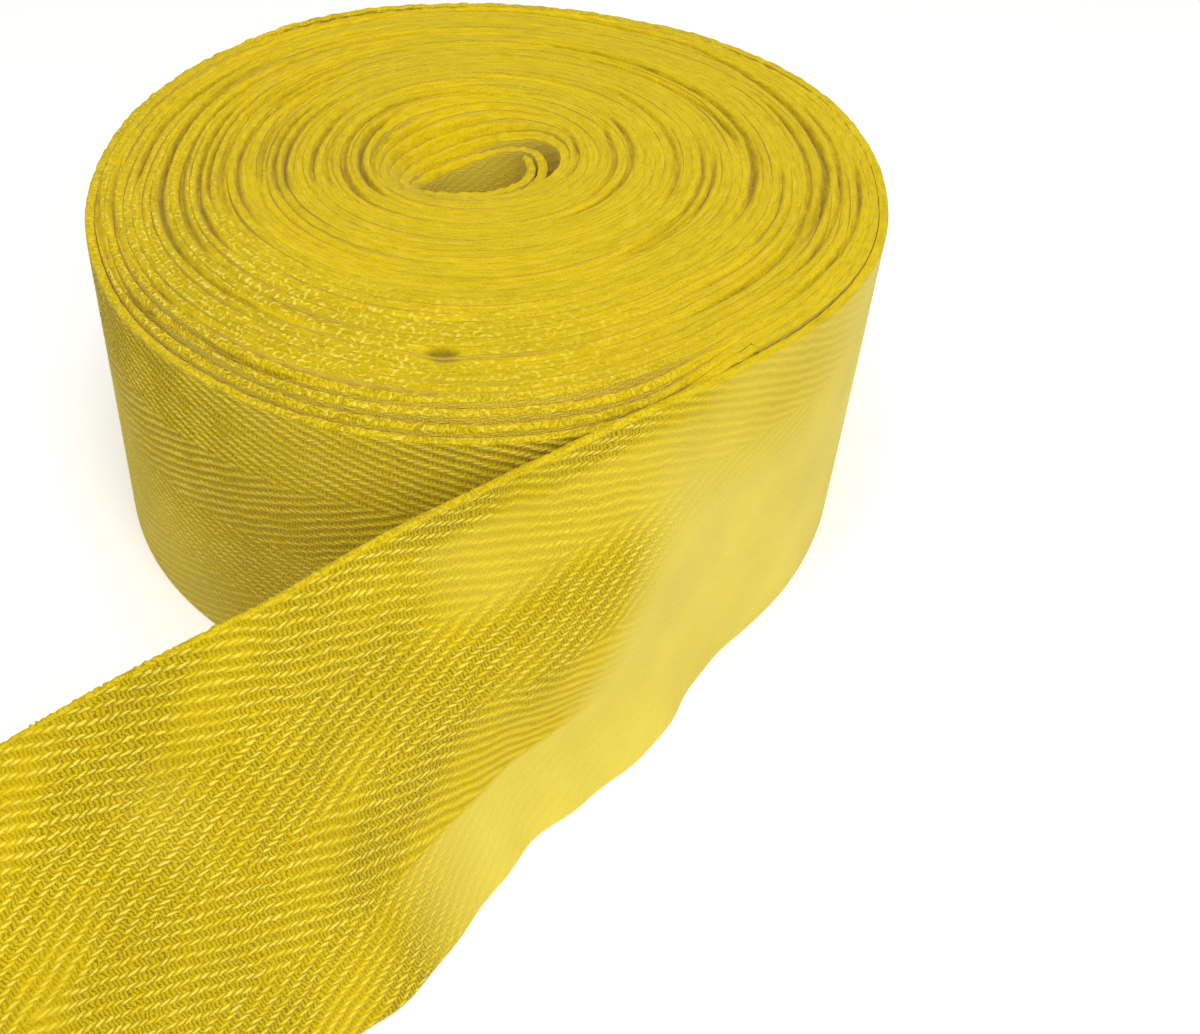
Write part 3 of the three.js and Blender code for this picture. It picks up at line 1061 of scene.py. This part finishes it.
    # pressed smooth, the cloth is paler; the same pale colour is a painted sheen on the lit right side,
    # the loose end and the inner turns' faces
    mixed = add_node(tree, "ShaderNodeMix", {
        0: values["pressed"], 6: ramp.outputs["Color"], 7: finish.pressed,
    }, data_type="RGBA")
    dyed = add_node(tree, "ShaderNodeVectorMath", {0: mixed.outputs[2]}, operation="SCALE")
    tree.links.new(values["shade"], dyed.inputs["Scale"])
    bump = add_node(tree, "ShaderNodeBump", {
        "Height": values["height"], "Strength": 1.0, "Distance": tape.yarn_depth,
    })
    shader = add_node(tree, "ShaderNodeBsdfPrincipled", {
        "Base Color": dyed.outputs["Vector"], "Normal": bump.outputs["Normal"], "Roughness": 0.9,
        "Sheen Weight": 0.09, "Sheen Roughness": 0.5, "Specular IOR Level": 0.15,
    })
    tree.links.new(shader.outputs["BSDF"], output.inputs["Surface"])
    return material


# ---------------------------------------------------------------------------------------------
# Stage
# ---------------------------------------------------------------------------------------------

def add_floor(context, stage):
    """A flat pale floor that glows a little."""
    half = FLOOR_HALF
    mesh = bpy.data.meshes.new("floor")
    mesh.from_pydata(
        [(-half, -half, 0), (half, -half, 0), (half, half, 0), (-half, half, 0)], [], [(0, 1, 2, 3)])
    material = bpy.data.materials.new("matt white painted board")
    material.use_nodes = True
    shader = material.node_tree.nodes["Principled BSDF"]
    shader.inputs["Base Color"].default_value = stage.floor
    shader.inputs["Roughness"].default_value = 0.9
    shader.inputs["Emission Color"].default_value = stage.floor
    shader.inputs["Emission Strength"].default_value = FLOOR_GLOW
    mesh.materials.append(material)
    add_object(context, "floor", mesh)


def add_light(context, centre):
    """An even white sky, and round lamps that face the middle of the roll's foot."""
    world = bpy.data.worlds.new("soft studio light")
    context.scene.world = world
    world.use_nodes = True
    sky = world.node_tree.nodes["Background"]
    sky.inputs["Color"].default_value = (1.0, 1.0, 1.0, 1.0)
    sky.inputs["Strength"].default_value = SKY_STRENGTH
    context.scene.view_settings.view_transform = "Standard"
    for name, place, size, power in LAMPS:
        lamp = bpy.data.lights.new(name, "AREA")
        lamp.shape, lamp.size, lamp.energy = "DISK", size, power
        where = centre + Vector(place)
        aim = (centre - where).to_track_quat("-Z", "Y").to_matrix().to_4x4()
        add_object(context, name, lamp).matrix_world = Matrix.Translation(where) @ aim


def add_camera(context, stage, centre):
    """The camera in front of the roll, turned, tipped down and tipped sideways, in that order."""
    lens = bpy.data.cameras.new("camera")
    lens.lens = stage.focal_length
    lens.sensor_width = 36.0
    lens.sensor_fit = "HORIZONTAL"
    lens.clip_start, lens.clip_end = 0.01, 20.0
    camera = add_object(context, "camera", lens)
    turn = (
        Matrix.Rotation(-stage.turned, 3, "Z") @ Matrix.Rotation(-stage.pitched, 3, "X")
        @ Matrix.Rotation(-stage.rolled, 3, "Y")
    )
    level = Matrix.Rotation(math.radians(90), 3, "X")
    where = centre + Vector((0.0, -stage.distance, stage.height))
    camera.matrix_world = Matrix.Translation(where) @ (turn @ level).to_4x4()
    context.scene.camera = camera


# ---------------------------------------------------------------------------------------------
# Operators
# ---------------------------------------------------------------------------------------------

def shared_cotton(settings):
    """The cloth's material, made once."""
    return bpy.data.materials.get(COTTON) or woven_cotton(settings.tape, settings.finish)


class TAPE_OT_loose_end(bpy.types.Operator):
    """Lay the tape's loose end"""

    bl_idname = "tape.loose_end"
    bl_label = "Loose end"

    def execute(self, context):
        settings = context.scene.twill_tape
        tape, roll = settings.tape, settings.roll
        reach = END_SECTIONS[-1][0] * MM
        step = tape.pick_spacing / STEPS_PER_PICK
        rounding = 0.5 * tape.thickness
        # one section more behind the leave line, for the normals there
        along = np.append(-step, to_cut_end(0.0, reach, step, rounding))
        kept = cut_end(along, reach, rounding)
        section = strip_section(tape, FACE_ROWS, LOOSE_BACK_ROWS, EDGE_ROWS)
        points, finish = last_turn_points(along, section, kept, tape, roll)
        normals = grid_normals(points)
        mesh = tube_mesh("loose_end_cloth", points[1:], normals[1:], along[1:], section[3], finish[1:])
        piece = add_piece(context, mesh, shared_cotton(settings), ["loose_end"])
        return {"FINISHED"}


class TAPE_OT_last_turn(bpy.types.Operator):
    """Wind the outermost turn"""

    bl_idname = "tape.last_turn"
    bl_label = "Last turn"

    def execute(self, context):
        settings = context.scene.twill_tape
        tape, roll = settings.tape, settings.roll
        around = first_turn_length(roll)
        along = np.linspace(-around, 0.0, round(around / LAST_TURN_STEP))
        # one section more past the leave line, for the normals there
        along = np.append(along, LAST_TURN_STEP)
        section = strip_section(tape, FACE_ROWS, WOUND_BACK_ROWS, EDGE_ROWS)
        # behind the leave line the turn thickens by 8 percent, which closes it on the next one
        swollen = 1.0 + 0.08 * smooth(along, 0.0, -20 * MM)
        points, finish = last_turn_points(along, section, swollen, tape, roll)
        normals = grid_normals(points)
        mesh = tube_mesh("outer_turn", points[:-1], normals[:-1], along[:-1], section[3], finish[:-1])
        add_piece(context, mesh, shared_cotton(settings), ["roll"])
        return {"FINISHED"}


class TAPE_OT_turns(bpy.types.Operator):
    """Wind the turns inside the outermost one"""

    bl_idname = "tape.turns"
    bl_label = "Inner turns"

    def execute(self, context):
        settings = context.scene.twill_tape
        tape, roll = settings.tape, settings.roll
        whole = wound_length(tape, roll)
        rounding = 0.5 * tape.thickness
        distances = to_cut_end(first_turn_length(roll), whole, TURN_STEP, rounding)
        kept = cut_end(distances, whole, rounding)
        section = turn_section(tape)
        points, finish = turn_points(distances, section, kept, tape, roll)
        normals = grid_normals(points)
        names = ("wound_turns_outer", "wound_turns_middle", "wound_turns_inner")
        breaks = np.linspace(0, len(distances) - 1, len(names) + 1).astype(int)
        for name, first, last in zip(names, breaks[:-1], breaks[1:]):
            part = slice(first, last + 1)
            mesh = tube_mesh(
                name, points[part], normals[part], -distances[part], section[3], finish[part])
            add_piece(context, mesh, shared_cotton(settings), ["roll"])
        return {"FINISHED"}


class TAPE_OT_stage(bpy.types.Operator):
    """Set the floor, the light and the camera"""

    bl_idname = "tape.stage"
    bl_label = "Stage"

    def execute(self, context):
        settings = context.scene.twill_tape
        centre = Vector(roll_centre(settings.tape, settings.roll).tolist())
        add_floor(context, settings.stage)
        add_light(context, centre)
        add_camera(context, settings.stage, centre)
        return {"FINISHED"}


class TAPE_PT_panel(bpy.types.Panel):
    """Panel that lists the pieces"""

    bl_label = "Roll of herringbone tape"
    bl_idname = "TAPE_PT_panel"
    bl_space_type = "VIEW_3D"
    bl_region_type = "UI"
    bl_category = "Tape"

    def draw(self, context):
        for operator in OPERATORS:
            self.layout.operator(operator.bl_idname)


OPERATORS = (TAPE_OT_stage, TAPE_OT_loose_end, TAPE_OT_last_turn, TAPE_OT_turns)
CLASSES = (
    TapeSettings, RollSettings, FinishSettings, StageSettings, TwillTapeSettings,
) + OPERATORS + (TAPE_PT_panel,)


def register():
    for item in CLASSES:
        bpy.utils.register_class(item)
    bpy.types.Scene.twill_tape = PointerProperty(type=TwillTapeSettings)


def unregister():
    del bpy.types.Scene.twill_tape
    for item in reversed(CLASSES):
        bpy.utils.unregister_class(item)


def main():
    register()
    bpy.ops.tape.stage()
    bpy.ops.tape.loose_end()
    bpy.ops.tape.last_turn()
    bpy.ops.tape.turns()


if __name__ == "__main__":
    main()
